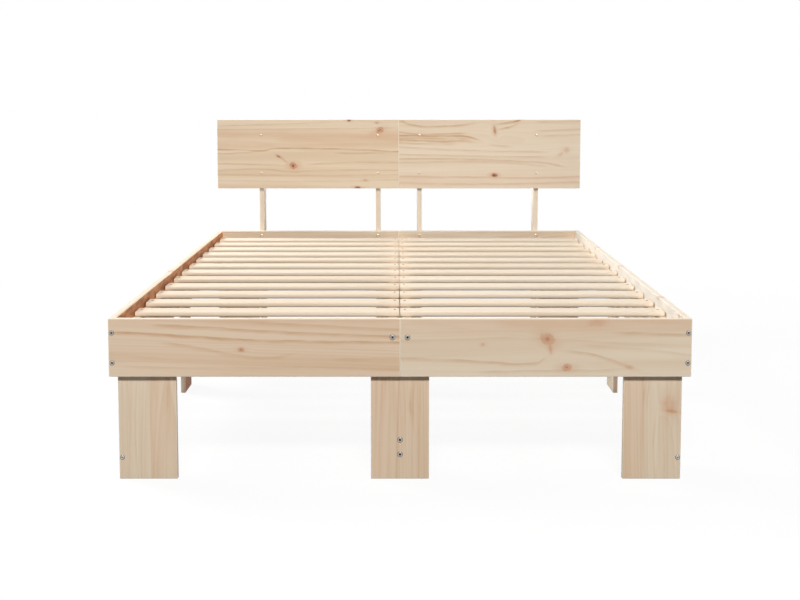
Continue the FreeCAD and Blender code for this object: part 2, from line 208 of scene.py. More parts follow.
def growth(bench, log, bulge):
    """Summer wood share, slow colour drift, long streaks and fine fibre of a point in the log."""
    wobble = bench.noise(log, RING_STRAY_WAVES, 2.0, 0.45, "Color")
    centred = bench.vector("SUBTRACT", wobble, (0.5, 0.5, 0.5))
    stray = bench.vector("MULTIPLY", centred, (0.0, RING_STRAY, RING_STRAY))
    bent = bench.vector("ADD", log, stray)
    heart_distance = bench.length(bench.vector("MULTIPLY", bent, (0.0, 1.0, 1.0)))
    radius = bench.math("ADD", heart_distance, bulge)
    uneven = bench.put(
        "ShaderNodeTexNoise",
        {"W": bench.math("MULTIPLY", radius, UNEVEN_WAVES), "Scale": 1.0, "Detail": 1.0},
        noise_dimensions="1D",
    ).outputs["Fac"]
    even_years = bench.math("DIVIDE", radius, RING_WIDTH)
    years = bench.math("ADD", even_years, bench.math("MULTIPLY", uneven, UNEVEN_YEARS))
    season = bench.math("FRACT", years)
    summer = bench.ramp(season, SUMMER_START, SUMMER_FULL)
    late = bench.math("MULTIPLY", summer, bench.ramp(season, WINTER, 1.0, 1.0, 0.0))
    vigour = bench.lot(bench.math("FLOOR", years))
    late = bench.math("MULTIPLY", late, bench.ramp(vigour, 0.1, 1.0, WEAK_YEAR, 1.0))
    drift = bench.noise(log, DRIFT_WAVES)
    streak = bench.noise(bent, STREAK_WAVES)
    fibre = bench.noise(bent, FIBRE_WAVES, 3.0, 0.6)
    return late, drift, streak, fibre


print(f"growth rings about {RING_WIDTH * 1000:.1f} mm apart")

# %% [markdown]
# A knot is a branch cut across. The rings flow round it like water round a stone. They could be drawn bent
# one by one, but it is simpler to let each knot push the distance to the heart outwards near it, which
# bends every line alike. A Mapping node turns and scales the board's face until the knot is a circle of
# radius 1.

# %% Knot shapes
MM = 0.001
BULGE_SPREAD = (3.6, 2.0)
BULGE_MOST = 9
Knot = namedtuple("Knot", "along across half_length half_width turn strength core")


def knot_reach(bench, face, knot, spread=(1.0, 1.0)):
    """Distance from a knot's centre, where 1 is its rim; round knots and long spike knots alike."""
    place = bench.put(
        "ShaderNodeMapping",
        {
            "Vector": face,
            "Location": (knot.along * MM, knot.across * MM, 0.0),
            "Rotation": (0.0, 0.0, math.radians(knot.turn)),
            "Scale": (knot.half_length * spread[0] * MM, knot.half_width * spread[1] * MM, 1.0),
        },
        vector_type="TEXTURE",
    ).outputs[0]
    return bench.length(bench.vector("MULTIPLY", place, (1.0, 1.0, 0.0)))


def knot_bulge(bench, face, knot):
    """How far a knot pushes the growth rings outwards, in metres."""
    reach = knot_reach(bench, face, knot, BULGE_SPREAD)
    fall = bench.math("POWER", math.e, bench.math("MULTIPLY", bench.math("MULTIPLY", reach, reach), -1.0))
    return bench.math("MULTIPLY", fall, min(knot.half_width, BULGE_MOST) * knot.strength * MM)


print(f"a knot pushes the rings out by up to {BULGE_MOST} mm")

# %% [markdown]
# The knot itself is a reddish disc with a broken rim of resin and a dark core, in a halo of warmer wood.
# One round stain would look stamped, so two noises make its outline ragged. A core of 0 is a faint knot
# without a rim. Above 1 it is a dead knot, dark almost to its rim.

# %% Knot colours
KNOT_HALO = screen(208, 162, 124)
KNOT_DISC = screen(202, 132, 92)
KNOT_RIM = screen(150, 92, 60)
KNOT_CORE = screen(112, 54, 36)
HALO_SHARE = 0.42
DISC_SHARE = 0.85
RIM_SHARE = 0.7
CORE_SHARE = 0.95
HALO_SPREAD = (1.7, 1.1)
COARSE_WAVES = (55.0, 55.0, 55.0)
FINE_WAVES = (190.0, 190.0, 190.0)
COARSE_RAGS = 0.9
FINE_RAGS = 0.7


def paint_knot(bench, wood, face, knot):
    """The wood colour with one knot painted over it."""
    coarse = bench.noise(face, COARSE_WAVES, 1.0)
    fine = bench.noise(face, FINE_WAVES)
    fine_rags = bench.math("MULTIPLY_ADD", fine, FINE_RAGS, -(COARSE_RAGS + FINE_RAGS) / 2)
    ragged = bench.math("MULTIPLY_ADD", coarse, COARSE_RAGS, fine_rags)
    reach = bench.math("ADD", knot_reach(bench, face, knot), ragged)
    halo_reach = knot_reach(bench, face, knot, HALO_SPREAD)
    halo = bench.ramp(halo_reach, 0.4, 1.9, HALO_SHARE * knot.strength, 0.0)
    wood = bench.mix(halo, wood, KNOT_HALO)
    disc = bench.ramp(reach, 0.35, 1.25, DISC_SHARE * knot.strength, 0.0)
    wood = bench.mix(disc, wood, KNOT_DISC)
    if not knot.core:
        return wood
    depth = knot.strength * min(knot.core, 1.0)
    rim = bench.math("MULTIPLY", bench.ramp(reach, 0.55, 0.85), bench.ramp(reach, 0.88, 1.12, 1.0, 0.0))
    broken = bench.math("MULTIPLY", rim, bench.ramp(fine, 0.40, 0.62, 0.0, RIM_SHARE * depth))
    wood = bench.mix(broken, wood, KNOT_RIM)
    dark = bench.ramp(reach, 0.05 * knot.core, 0.50 * knot.core, CORE_SHARE * depth, 0.0)
    return bench.mix(dark, wood, KNOT_CORE)


print("knot colours ready")

# %% [markdown]
# Some years leave a much darker line that can be followed along a whole board. Rings from noise never fall
# where the picture has them, so these lines are drawn one by one, as smooth curves through a few points:
# sharp on the outer side, where growth stopped for the winter, and soft on the other. A line that comes
# close to the end of its board runs out through it, and any other end fades.

# %% Strong year lines
LINE_INK = screen(196, 150, 101)
SOFT_SIDE = 0.0065
SHARP_SIDE = 0.0018
LINE_STRAY = 0.005
LINE_STRAY_WAVES = (22.0, 60.0, 60.0)
LINE_PATCH_WAVES = (14.0, 90.0, 90.0)
FADE_OUTSIDE = 0.012
FADE_INSIDE = 0.05
RUN_OUT = 0.02


def line_height(bench, along, size, points):
    """The place across the board of a smooth curve through points given in millimetres."""
    length, width = size
    share = bench.put(
        "ShaderNodeMapRange", {"Value": along, "From Min": -length / 2, "From Max": length / 2}
    ).outputs[0]
    curve = bench.put("ShaderNodeFloatCurve", {"Value": share})
    stops = [(x * MM / length + 0.5, y * MM / width + 0.5) for x, y in points]
    curve.mapping.extend = "HORIZONTAL"
    spline = curve.mapping.curves[0]
    spline.points[0].location = stops[0]
    spline.points[1].location = stops[-1]
    for stop in stops[1:-1]:
        spline.points.new(*stop)
    curve.mapping.update()
    return bench.math("MULTIPLY_ADD", curve.outputs[0], width, -width / 2)


def year_line(bench, wood, face, size, line, softness):
    """The wood colour with one long dark year line."""
    strength, points = line
    along, across, _ = bench.parts(face)
    waver = bench.noise(face, LINE_STRAY_WAVES)
    stray = bench.math("MULTIPLY_ADD", waver, LINE_STRAY, -LINE_STRAY / 2)
    height = bench.math("ADD", line_height(bench, along, size, points), stray)
    away = bench.math("SUBTRACT", across, height)
    soft = bench.ramp(away, -SOFT_SIDE * softness, 0.0)
    mark = bench.math("MULTIPLY", soft, bench.ramp(away, 0.0, SHARP_SIDE * softness, 1.0, 0.0))
    first = points[0][0] * MM
    last = points[-1][0] * MM
    if first + size[0] / 2 > RUN_OUT:
        fade = bench.ramp(along, first - FADE_OUTSIDE, first + FADE_INSIDE)
        mark = bench.math("MULTIPLY", mark, fade)
    if size[0] / 2 - last > RUN_OUT:
        fade = bench.ramp(along, last - FADE_INSIDE, last + FADE_OUTSIDE, 1.0, 0.0)
        mark = bench.math("MULTIPLY", mark, fade)
    patchy = bench.noise(face, LINE_PATCH_WAVES)
    mark = bench.math("MULTIPLY", mark, bench.ramp(patchy, 0.25, 0.65, 0.45 * strength, strength))
    return bench.mix(mark, wood, LINE_INK)


print("year lines ready")

# %% [markdown]
# Wide boards are glued up from narrower ones, so the grain breaks at each glue line and the tone steps a
# little. Cutting the board in two would make a gap where there is only a change of grain. So the shader
# counts the glue lines below a point and takes a new place in the log for each count. A band of pinkish
# heartwood can run along a board too.

# %% Glue lines and heartwood
HEARTWOOD = screen(219, 178, 143)
BAND_STRAY = 0.024
BAND_STRAY_WAVES = (3.0, 12.0, 12.0)
BAND_PATCH_WAVES = (4.0, 30.0, 30.0)
BAND_OUTSIDE = 0.014
BAND_INSIDE = 0.010


def lamella(bench, face, joints, seed):
    """A number that goes up by one at each glue line, and three random numbers that belong to it."""
    across = bench.parts(face)[1]
    number = float(seed)
    for joint in joints:
        number = bench.math("ADD", number, bench.math("GREATER_THAN", across, joint * MM))
    return number, bench.vector("SUBTRACT", bench.lot(number, "Color"), (0.5, 0.5, 0.5))


def heart_band(bench, wood, face, band):
    """The wood colour with one pinkish band of heartwood along the board."""
    across, half, strength = band
    waver = bench.noise(face, BAND_STRAY_WAVES)
    stray = bench.math("MULTIPLY_ADD", waver, BAND_STRAY, -BAND_STRAY / 2)
    place = bench.math("ADD", bench.parts(face)[1], stray)
    low = (across - half) * MM
    high = (across + half) * MM
    above_low = bench.ramp(place, low - BAND_OUTSIDE, low + BAND_INSIDE)
    below_high = bench.ramp(place, high - BAND_INSIDE, high + BAND_OUTSIDE, 1.0, 0.0)
    mark = bench.math("MULTIPLY", above_low, below_high)
    patchy = bench.noise(face, BAND_PATCH_WAVES, 3.0)
    mark = bench.math("MULTIPLY", mark, bench.ramp(patchy, 0.30, 0.70, 0.25 * strength, strength))
    return bench.mix(mark, wood, HEARTWOOD)


print("glue lines and heartwood ready")

# %% [markdown]
# Some broad faces get painted light and shade. The left rail's inner face lies in shade and is painted
# ruddy, with a mottle that is partly curly grain and partly painted glint and shade; the right rail's inner
# face is painted cream, as lit, and the side legs' inner faces get painted shade on the left and painted
# light on the right. A second material on those faces would end in a hard line, so the painted colour comes
# in through the board's depth and leaves the rest alone. The mottle is a short wavy noise with a light and a
# dark side.

# %% One-sided painted light and shade
# Colours of painted shade and painted light for inner faces, and of the mottle's painted glint and shade.
RUDDY_PAINTED_SHADE = screen(222, 148, 94)
CREAM_PAINTED_LIGHT = screen(252, 246, 236)
SHADED = screen(172, 106, 62)
SUNLIT = screen(255, 240, 212)
CURL_PAINTED_GLINT = screen(242, 196, 150)
CURL_PAINTED_SHADE = screen(140, 76, 40)
CURL_PAINTED_GLINT_SHARE = 0.7
CURL_WAVES = (9.0, 60.0, 60.0)
TINT_START = 0.002
TINT_FULL = 0.0085


def paint_face_light_and_shade(bench, wood, face, inner, painted_mottle):
    """The wood colour with one broad face painted in the colour of its light or shade, and a painted mottle
    if given.
    """
    side, share, colour = inner
    depth = bench.math("MULTIPLY", bench.parts(face)[2], side)
    near = bench.ramp(depth, TINT_START, TINT_FULL)
    # paints the chosen broad face towards its colour of light or shade
    wood = bench.mix(bench.math("MULTIPLY", near, share), wood, colour)
    if not painted_mottle:
        return wood
    # the mottle: partly curly grain, partly painted glint and shade on the same face
    curl = bench.noise(face, CURL_WAVES, 3.0)
    bright = bench.math("MULTIPLY", near, bench.ramp(curl, 0.34, 0.50, CURL_PAINTED_GLINT_SHARE * painted_mottle, 0.0))
    wood = bench.mix(bright, wood, CURL_PAINTED_GLINT)
    dull = bench.math("MULTIPLY", near, bench.ramp(curl, 0.46, 0.62, 0.0, painted_mottle))
    return bench.mix(dull, wood, CURL_PAINTED_SHADE)


print("one-sided tint ready")

# %% [markdown]
# The finish itself is planed pine. The rails, panels, legs and posts have a thin, nearly matt clear lacquer,
# and the slats and battens are bare. A coat layer could stand for the lacquer, but one so matt and thin
# hardly shows, so one surface serves all: a little smoother on the hard summer wood, with a bump of less
# than a tenth of a millimetre along the fibres. Each board also carries a "tone" from -1, red, to 1, pale,
# so that the boards don't all match, and an "edge" share for a painted highlight that pales eased edges,
# narrow sides and ends, where they would catch more light.

# %% Pine finish
SPRING = screen(233, 215, 190)
SUMMER = screen(211, 178, 143)
STREAK = screen(198, 160, 122)
FIBRE = screen(176, 134, 96)
PALE = screen(243, 234, 218)
RED = screen(210, 129, 77)
DRIFT_SHARE = 0.45
STREAK_SHARE = 0.7
FIBRE_SHARE = 0.16
PALE_SHARE = 0.80
RED_SHARE = 0.62
PAINTED_EDGE_HIGHLIGHT_SHARE = 0.75
STRIP_SHIFT = (9.0, 0.05, 0.03)
RING_RELIEF = 0.6
FIBRE_RELIEF = 0.4
BUMP_STRENGTH = 0.25
BUMP_HEIGHT = 0.0003
MATT = 0.56
SUMMER_POLISH = 0.08
SHEEN = 0.1


def pine(name, spring, summer, contrast, look=None, size=(1.0, 1.0), seed=0):
    """A planed pine finish; the look holds the knots, lines, bands and joints of one known board."""
    look = look or {}
    knots = [Knot(*row) for row in look.get("knots", ())]
    bench = Bench(bpy.data.materials.new(name))
    log = bench.attribute("log", "Vector")
    face = bench.attribute("face", "Vector")
    tone = bench.attribute("tone", "Fac")
    edge = bench.attribute("edge", "Fac")
    if "joints" in look:
        strip, draws = lamella(bench, face, look["joints"], seed)
        log = bench.vector("ADD", log, bench.vector("MULTIPLY", draws, STRIP_SHIFT))
        tone = bench.math("MULTIPLY_ADD", bench.math("SUBTRACT", strip, float(seed)), look["step"], tone)
    bulge = 0.0
    for knot in knots:
        bulge = bench.math("ADD", bulge, knot_bulge(bench, face, knot))
    late, drift, streak, fibre = growth(bench, log, bulge)
    wood = bench.mix(bench.math("MULTIPLY", late, contrast), spring, summer)
    wood = bench.mix(bench.ramp(drift, 0.38, 0.72, 0.0, DRIFT_SHARE), wood, summer)
    for band in look.get("bands", ()):
        wood = heart_band(bench, wood, face, band)
    wood = bench.mix(bench.ramp(streak, 0.50, 0.80, 0.0, STREAK_SHARE * contrast), wood, STREAK)
    wood = bench.mix(bench.ramp(fibre, 0.55, 0.85, 0.0, FIBRE_SHARE), wood, FIBRE)
    for line in look.get("lines", ()):
        wood = year_line(bench, wood, face, size, line, look.get("softness", 1.0))
    wood = bench.mix(bench.ramp(tone, 0.0, 1.0, 0.0, PALE_SHARE), wood, PALE)
    wood = bench.mix(bench.ramp(tone, 0.0, -1.0, 0.0, RED_SHARE), wood, RED)
    if "inner" in look:
        wood = paint_face_light_and_shade(bench, wood, face, look["inner"], look.get("painted_mottle"))
    # painted highlight: eased edges, narrow sides and ends are paled by their edge share
    wood = bench.mix(bench.math("MULTIPLY", edge, PAINTED_EDGE_HIGHLIGHT_SHARE), wood, PALE)
    for knot in knots:
        wood = paint_knot(bench, wood, face, knot)
    ridges = bench.math("MULTIPLY", late, RING_RELIEF)
    height = bench.math("ADD", ridges, bench.math("MULTIPLY", fibre, FIBRE_RELIEF))
    bump = bench.put(
        "ShaderNodeBump", {"Strength": BUMP_STRENGTH, "Distance": BUMP_HEIGHT, "Height": height}
    ).outputs[0]
    matt = bench.math("MULTIPLY_ADD", late, -SUMMER_POLISH, MATT)
    shader = bench.put(
        "ShaderNodeBsdfPrincipled",
        {"Base Color": wood, "Roughness": matt, "Specular IOR Level": SHEEN, "Normal": bump},
    ).outputs[0]
    return bench.finish(shader)


print("pine recipe ready")

# %% [markdown]
# The headboard is the board that everyone looks at, so its knots and year lines are placed one by one, in
# millimetres from each half's centre: first along the grain, then across it. Chance grain would be less
# work, and would never look like this bed. A dictionary holds the look of each known board, and names only
# what is special about it.

# %% Headboard grain
# What a look can hold:
# tone: the colour of the board, from -1, red, to 1, pale
# contrast and softness: how far the faint rings show, and how wide the year lines spread
# heart and slope: the way from the log's heart to the board's centre, across and deep, and how it changes
# along the board
# joints and step: the places of the glue lines across the board, and the change of tone at each
# bands: place across, half width, strength
# lines: strength, points
# knots: along, across, half length, half width, turn in degrees, strength, core
# inner and painted_mottle: side, share and colour of the painted light or shade on one broad face, and the
# strength of its mottle of painted glint and shade
LOOKS = {}
LOOKS["headboard_left"] = {
    "tone": 0.07,
    "contrast": 0.22,
    "softness": 1.3,
    "heart": (-30, 75),
    "slope": (0.01, 0.0),
    "bands": ((56, 30, 0.60),),
    "lines": (
        (0.75, ((-349, 19), (-263, 18), (-177, 15), (-144, 22), (-65, 25), (61, 23), (233, 17), (339, 10))),
        (0.50, ((-349, 3), (-263, 6), (-200, 10))),
        (0.45, ((100, 6), (233, 5), (355, 12))),
        (0.40, ((-352, -37), (-197, -40), (-90, -44))),
        (0.40, ((-12, -40), (101, -34), (355, -32))),
        (0.40, ((-352, -63), (-160, -60), (-65, -69), (8, -65), (355, -63))),
        (0.30, ((-352, -80), (0, -83), (355, -80))),
        (0.25, ((-352, -103), (-50, -106), (355, -100))),
        (0.30, ((-352, 112), (-164, 118), (100, 128))),
        (0.25, ((-352, 98), (-32, 101), (350, 104))),
    ),
    "knots": (
        (-58, -46, 15, 14, 0, 0.90, 1.0),
        (-117, -9, 10, 5, -25, 0.60, 1.5),
        (-95, -24, 22, 4, -40, 0.30, 0.0),
        (283, 94, 18, 12, 20, 0.60, 1.3),
        (272, 124, 8, 5, 0, 0.50, 0.4),
        (226, -104, 9, 5, 0, 0.50, 0.3),
        (163, 134, 9, 6, 0, 0.75, 2.4),
        (197, -133, 13, 6, 0, 0.85, 2.4),
    ),
}
LOOKS["headboard_right"] = {
    "tone": 0.40,
    "contrast": 0.20,
    "softness": 1.7,
    "heart": (-60, 60),
    "slope": (-0.01, 0.02),
    "joints": (41,),
    "step": -0.15,
    "bands": ((-104, 20, 0.50),),
    "lines": (
        (0.70, ((-345, 132), (-299, 115), (-193, 110), (-94, 118), (-47, 125))),
        (0.60, ((-352, 89), (-279, 79), (-160, 82), (-80, 85))),
        (0.60, ((-348, 64), (-206, 62), (-94, 61), (-60, 57))),
        (0.60, ((-348, 46), (-240, 41), (-120, 42))),
        (0.50, ((175, 128), (260, 129), (355, 131))),
        (0.95, ((-348, 75), (-206, 72), (-100, 72), (-67, 66), (-28, 50))),
        (0.85, ((-348, 57), (-206, 52), (-94, 52), (-47, 48))),
        (0.75, ((-4, 39), (40, 34), (91, 31))),
        (0.55, ((-352, 29), (-160, 19), (38, 13), (240, 10))),
        (0.55, ((-352, 0), (-28, -7), (237, -10))),
        (0.75, ((-352, -17), (-61, -19), (105, -27), (204, -32), (309, -50))),
        (0.50, ((-352, -32), (38, -32), (237, -47))),
        (0.65, ((-352, -87), (-94, -90), (171, -93), (355, -87))),
        (0.60, ((-352, -113), (-28, -118), (355, -110))),
        (0.40, ((171, 92), (355, 99))),
        (0.40, ((190, 72), (355, 78))),
        (0.85, ((24, 97), (60, 104), (90, 112), (118, 128))),
        (0.85, ((20, 118), (70, 126), (118, 134))),
    ),
    "knots": (
        (19, -83, 12, 9, 0, 0.95, 2.0),
        (20, 94, 6, 18, 8, 0.70, 1.2),
        (108, 131, 16, 4, 15, 0.70, 0.6),
        (303, 16, 13, 13, 0, 0.32, 0.0),
        (281, -1, 13, 7, 30, 0.28, 0.0),
    ),
}
print(f"headboard: {sum(len(look['lines']) for look in LOOKS.values())} year lines")

# %% [markdown]
# The two halves of the foot panel are nearest to the eye. The left one is plain and ruddy with one small
# knot, the right one pale with pink knots that the lines swing round. One long board cut in half could not
# give both, so each half has its own look, like two boards from two logs.

# %% Foot panel grain
LOOKS["foot_panel_left"] = {
    "tone": -0.26,
    "contrast": 0.26,
    "softness": 1.7,
    "heart": (-70, 80),
    "slope": (0.035, 0.0),
    "bands": ((64, 12, 0.40),),
    "lines": (
        (0.55, ((-258, 59), (-103, 51), (70, 40), (357, 29))),
        (0.70, ((-345, 40), (-178, 31), (-17, 21), (131, 17), (357, 14))),
        (0.35, ((-239, 16), (-147, 3), (-42, -17), (33, -23), (107, -9))),
        (0.25, ((-307, -21), (-215, -26))),
        (0.35, ((-23, 65), (180, 55), (357, 46))),
        (0.25, ((181, -28), (357, -25))),
        (0.20, ((-330, -45), (-100, -50), (120, -48), (340, -52))),
    ),
    "knots": ((-32, -5, 8, 6, 0, 0.60, 0.8),),
}
LOOKS["foot_panel_right"] = {
    "tone": 0.28,
    "contrast": 0.22,
    "softness": 1.7,
    "heart": (20, 90),
    "slope": (-0.02, 0.0),
    "bands": ((58, 18, 0.80),),
    "lines": (
        (0.55, ((-359, -25), (-235, -29), (-112, -37), (-38, -39), (-4, -25), (12, -9))),
        (0.60, ((37, -6), (111, -15), (173, -33), (213, -48))),
        (0.40, ((-174, -60), (12, -56), (160, -54), (213, -49))),
        (0.60, ((160, 40), (228, 37), (358, 34))),
        (0.25, ((-50, 25), (74, 19), (197, 12), (358, 6))),
        (0.25, ((74, 9), (259, -6), (358, -18))),
        (0.20, ((-350, 20), (-200, 22), (-60, 30))),
    ),
    "knots": (
        (3, 22, 18, 15, -30, 0.60, 0.45),
        (11, -2, 5, 12, 12, 0.45, 0.2),
        (52, -49, 14, 9, 0, 0.66, 0.6),
        (-155, 9, 6, 5, 0, 0.36, 0.5),
        (128, 62, 26, 10, 0, 0.34, 0.0),
        (205, -48, 14, 6, -20, 0.42, 0.0),
    ),
}
print(f"foot panel: {len(LOOKS['foot_panel_right']['knots'])} knots on the right half")

# %% [markdown]
# The front legs are short offcuts glued side by side, each with one glue line and a step of tone. Each could
# be two boards, but the solid model has one, so the step is in the finish. The grain of a leg runs upright,
# so "along" is its height here.

# %% Front leg grain
LOOKS["corner_leg_left_foot_face"] = {
    "tone": 0.32,
    "heart": (-40, 60),
    "slope": (0.0, 0.03),
    "joints": (6,),
    "step": -0.55,
    "lines": (
        (0.30, ((-170, -48), (0, -44), (88, -50))),
        (0.25, ((-170, -26), (-40, -30), (88, -22))),
        (0.45, ((-20, 50), (88, 53))),
    ),
}
LOOKS["middle_leg_foot_face"] = {
    "tone": -0.30,
    "heart": (30, 70),
    "slope": (0.0, 0.02),
    "joints": (-24,),
    "step": 0.12,
    "lines": (
        (0.40, ((-170, -8), (0, -4), (88, -3))),
        (0.60, ((-30, 29), (20, 27), (60, 29))),
        (0.45, ((-55, 36), (10, 33), (80, 36))),
        (0.25, ((-170, 48), (88, 52))),
    ),
}
LOOKS["corner_leg_right_foot_face"] = {
    "tone": -0.22,
    "heart": (-20, 55),
    "slope": (0.02, 0.0),
    "joints": (-20,),
    "step": 0.50,
    "lines": (
        (0.50, ((0, -20), (40, -19), (88, -12))),
        (0.45, ((-5, -12), (40, -11), (88, -3))),
        (0.30, ((-170, 10), (-60, 6), (0, 12))),
        (0.25, ((-170, 34), (-60, 30), (-20, 28))),
    ),
    "knots": ((15, 43, 22, 20, 0, 0.32, 0.0), (-3, 46, 5, 18, 8, 0.55, 0.3)),
}
print(f"front legs: {sum('leg' in name for name in LOOKS)} known boards")

# %% [markdown]
# The rails, posts and side legs show little grain, mostly a tone, with painted light and shade on the inner
# faces of the rails and side legs, and a few small knots along the rails' upper edges. A finish for every
# board would be a waste: boards that get only a tone share one, because the tone is stored on the board.
# Every other known board gets its own.

# %% Rail and post tones, and all the board finishes
# painted ruddy shade, with a mottle of painted glint and shade, on the left rails' inner faces
LEFT_RAIL = {"tone": -0.1, "inner": (1, 0.92, RUDDY_PAINTED_SHADE), "painted_mottle": 0.55}
# painted cream light on the right rails' inner faces
RIGHT_RAIL = {"tone": 0.5, "inner": (-1, 1.0, CREAM_PAINTED_LIGHT)}
LOOKS["side_rail_left_foot"] = {**LEFT_RAIL, "knots": ((335, 72, 14, 5, 0, 0.45, 0.2),)}
LOOKS["side_rail_left_head"] = {**LEFT_RAIL, "knots": ((-28, 60, 18, 9, 0, 0.85, 0.8),)}
LOOKS["side_rail_right_foot"] = {
    **RIGHT_RAIL,
    "knots": (
        (-180, 70, 14, 7, 0, 0.40, 0.0),
        (-453, 62, 16, 10, 0, 0.45, 0.2),
        (458, 69, 14, 7, 0, 0.35, 0.0),
    ),
}
LOOKS["side_rail_right_head"] = {**RIGHT_RAIL, "knots": ((-41, 69, 14, 6, 0, 0.35, 0.0),)}
for side in ("left", "right"):
    LOOKS[f"head_rail_{side}"] = {"tone": 0.12}
# painted shade on the left side leg's inner face and painted light on the right one's
LOOKS["middle_side_leg_left"] = {"tone": -0.1, "inner": (1, 0.95, SHADED)}
LOOKS["middle_side_leg_right"] = {"tone": -0.4, "inner": (-1, 0.95, SUNLIT)}
for side, tone in (("left", -0.15), ("right", 0.4)):
    for place in ("outer", "inner"):
        LOOKS[f"post_{side}_{place}"] = {"tone": tone}

PLAIN_CONTRAST = 0.55
KNOWN_CONTRAST = 0.38
plain_pine = pine("pine_boards", SPRING, SUMMER, PLAIN_CONTRAST)
known_pine = {}
for number, (name, look) in enumerate(LOOKS.items()):
    if len(look) > 1:
        low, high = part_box(name)
        size = sorted(high - low, reverse=True)[:2]
        contrast = look.get("contrast", KNOWN_CONTRAST)
        known_pine[name] = pine(f"pine_{name}", SPRING, SUMMER, contrast, look, size, number)
knot_count = sum(len(look.get("knots", ())) for look in LOOKS.values())
print(f"pine: {len(known_pine)} known boards, {knot_count} knots")

# %% [markdown]
# The longest side of a board is the way its grain runs. A seeded draw picks where in a log the board was
# cut, so the rings differ from board to board and stay the same on every run. Object coordinates alone
# would cut boards that lie side by side from the same log. So the coordinates are stored on the vertices,
# and each board takes its grain along.

# %% Cutting boards from logs
FLAT = 0.9995
NEARLY = 1e-6
SEED = 7
draw = random.Random(SEED)


def new_boards():
    """An empty bmesh with the grain layers."""
    mesh_data = bmesh.new()
    mesh_data.verts.layers.float_vector.new("face")
    mesh_data.verts.layers.float_vector.new("log")
    mesh_data.verts.layers.float.new("tone")
    mesh_data.loops.layers.float.new("edge")
    return mesh_data


def cut_from_log(mesh_data, low, high, look=None, tones=(-0.35, 0.35)):
    """Writes the grain of the board between two corners, one draw of the log for each board."""
    size = high - low
    order = sorted(range(3), key=lambda axis: -size[axis])
    centre = (low + high) / 2
    from_heart = Vector((draw.uniform(0, 40), draw.uniform(-0.05, 0.05), 0.0))
    from_heart.z = draw.choice((-1, 1)) * draw.uniform(0.03, 0.11)
    slope = Vector((0.0, draw.uniform(-0.02, 0.02), draw.uniform(-0.03, 0.03)))
    tone = draw.uniform(*tones)
    if look:
        tone = look["tone"]
    if look and "heart" in look:
        across, deep = look["heart"]
        from_heart = Vector((from_heart.x, across * MM, deep * MM))
        slope = Vector((0.0, *look["slope"]))
    vert_layers = mesh_data.verts.layers
    for vert in mesh_data.verts:
        if any(not low[axis] - NEARLY <= vert.co[axis] <= high[axis] + NEARLY for axis in range(3)):
            continue
        offset = vert.co - centre
        local = Vector([offset[axis] for axis in order])
        vert[vert_layers.float_vector["face"]] = local
        vert[vert_layers.float_vector["log"]] = local + from_heart + slope * local.x
        vert[vert_layers.float["tone"]] = tone
    return order


def mark_edges(mesh_data, order, side_share):
    """Marks eased edges fully for the painted highlight, and a board's narrow sides and ends in part."""
    layer = mesh_data.loops.layers.float["edge"]
    mesh_data.normal_update()
    for face in mesh_data.faces:
        flat_on = [axis for axis in range(3) if abs(face.normal[axis]) > FLAT]
        share = 1.0
        if flat_on:
            share = 0.0 if flat_on[0] == order[2] else side_share
        for loop in face.loops:
            loop[layer] = share


print(f"logs are drawn with seed {SEED}")

# %% [markdown]
# Every board starts as a cube, is scaled to the box that the solid model gives it, and has all twelve edges
# eased by a small round bevel, as a planed board has. A Bevel modifier would do the same, but it would have
# to carry the grain over the new corners too. Here the grain is written after the edges are eased.

# %% Boards
EASE = 0.0016
EASE_SEGMENTS = 3
# shares of painted highlight on narrow sides and ends; the legs get less
EDGE_SHARE = 0.6
LEG_EDGE_SHARE = 0.1


def add_box(mesh_data, low, high):
    """A box between two corners."""
    verts = bmesh.ops.create_cube(mesh_data, size=1.0)["verts"]
    bmesh.ops.scale(mesh_data, vec=high - low, verts=verts)
    bmesh.ops.translate(mesh_data, vec=(low + high) / 2, verts=verts)


def ease(mesh_data, edges, radius, segments):
    """Rounds edges."""
    bmesh.ops.bevel(
        mesh_data, geom=edges, offset=radius, offset_type="OFFSET", affect="EDGES",
        segments=segments, profile=0.5, material=-1, clamp_overlap=True,
    )


def finish_piece(mesh_data, name, material, replaced):
    """Turns a bmesh into a piece of the bed, its flat faces flat and its round ones smooth."""
    mesh_data.normal_update()
    for face in mesh_data.faces:
        face.smooth = max(abs(part) for part in face.normal) < FLAT
    mesh = bpy.data.meshes.new(name)
    mesh_data.to_mesh(mesh)
    mesh_data.free()
    mesh.materials.append(material)
    piece = bpy.data.objects.new(name, mesh)
    bpy.context.scene.collection.objects.link(piece)
    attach(piece, "root")
    if replaced:
        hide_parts(replaced)


slot_of = {row["node"]: row["material_slot"] for row in frame["record"]["subparts"]}
slat_names = [name for name in sorted(nodes) if name.startswith("slat_row")]
screw_names = [name for name in sorted(nodes) if name.endswith("_screws")]
board_names = [name for name in sorted(nodes) if name not in slat_names + screw_names]
for name in board_names:
    low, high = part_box(name)
    board = new_boards()
    add_box(board, low, high)
    ease(board, board.edges[:], EASE, EASE_SEGMENTS)
    order = cut_from_log(board, low, high, LOOKS.get(name))
    mark_edges(board, order, LEG_EDGE_SHARE if slot_of[name] == "leg_pine" else EDGE_SHARE)
    finish_piece(board, f"{name}_pine", known_pine.get(name, plain_pine), name)
print(f"boards: {len(board_names)}")

# %% [markdown]
# The slats are thinner and paler, and all their long edges are well rounded, so that each one catches a
# soft highlight. Each row is two halves that meet over the centre strips. The solid model joins the halves
# of a row in one node, so the gap between them is read from its corners. One bevel for all edges would make
# the ends too round. So a wide one rounds the long edges first, and a fine one then softens what is still
# sharp, which is only the ends.

# %% Slats
SLAT_SPRING = screen(233, 217, 197)
SLAT_SUMMER = screen(222, 200, 172)
SLAT_CONTRAST = 0.40
SLAT_TONES = (-0.05, 0.40)
SLAT_ROUND = 0.0062
SLAT_SEGMENTS = 6
SLAT_END_ROUND = 0.0009
SHARP = math.radians(40)
LONG = 0.1

